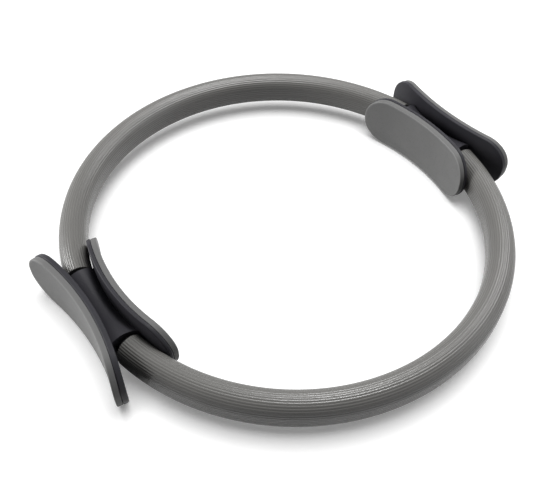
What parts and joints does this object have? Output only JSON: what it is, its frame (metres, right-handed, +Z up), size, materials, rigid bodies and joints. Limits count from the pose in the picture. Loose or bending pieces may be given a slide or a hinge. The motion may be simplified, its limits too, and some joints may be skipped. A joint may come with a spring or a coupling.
{
  "type": "pilates ring",
  "caption": "Springy round exercise ring of ribbed soft tube over flat springs, with padded grips on opposite sides to squeeze between hands or legs or to press apart.",
  "frame": {"origin": "middle of the ring, halfway up its height", "axes": "+X out through the right grip, +Y towards the back half hoop, +Z up out of the lying ring"},
  "size_m": [0.3924, 0.3736, 0.051],
  "materials": {
    "sleeve": "satin ribbed",
    "core": "matt foam",
    "spring": "spring temper",
    "shell": "fine moulded grain",
    "pad": "matt soft foam",
    "block": "moulded",
    "steel": "zinc plated"
  },
  "bodies": {
    "ring": {"front_sleeve": "sleeve", "front_foam_core": "core", "front_outer_band": "spring", "front_inner_band": "spring", "back_sleeve": "sleeve", "back_foam_core": "core", "back_outer_band": "spring", "back_inner_band": "spring"},
    "left_grip": {"left_outer_shell": "shell", "left_inner_shell": "shell", "left_outer_pad": "pad", "left_inner_pad": "pad", "left_clamp_block": "block", "left_screws": "steel", "left_nuts": "steel"},
    "right_grip": {"right_outer_shell": "shell", "right_inner_shell": "shell", "right_outer_pad": "pad", "right_inner_pad": "pad", "right_clamp_block": "block", "right_screws": "steel", "right_nuts": "steel"}
  },
  "joints": [
    {"name": "right_squeeze", "type": "slide", "parent": "ring", "child": "right_grip", "axis": [-1, 0, 0], "range_m": [-0.008, 0.025], "stiffness_N_per_m": 4500, "deforming": ["front_sleeve", "front_foam_core", "front_outer_band", "front_inner_band", "back_sleeve", "back_foam_core", "back_outer_band", "back_inner_band"]},
    {"name": "left_squeeze", "type": "slide", "parent": "ring", "child": "left_grip", "axis": [1, 0, 0], "range_m": [-0.008, 0.025], "stiffness_N_per_m": 4500, "deforming": ["front_sleeve", "front_foam_core", "front_outer_band", "front_inner_band", "back_sleeve", "back_foam_core", "back_outer_band", "back_inner_band"]}
  ],
  "couplings": [
    {"joint": "left_squeeze", "follows": "right_squeeze", "ratio": 1}
  ]
}
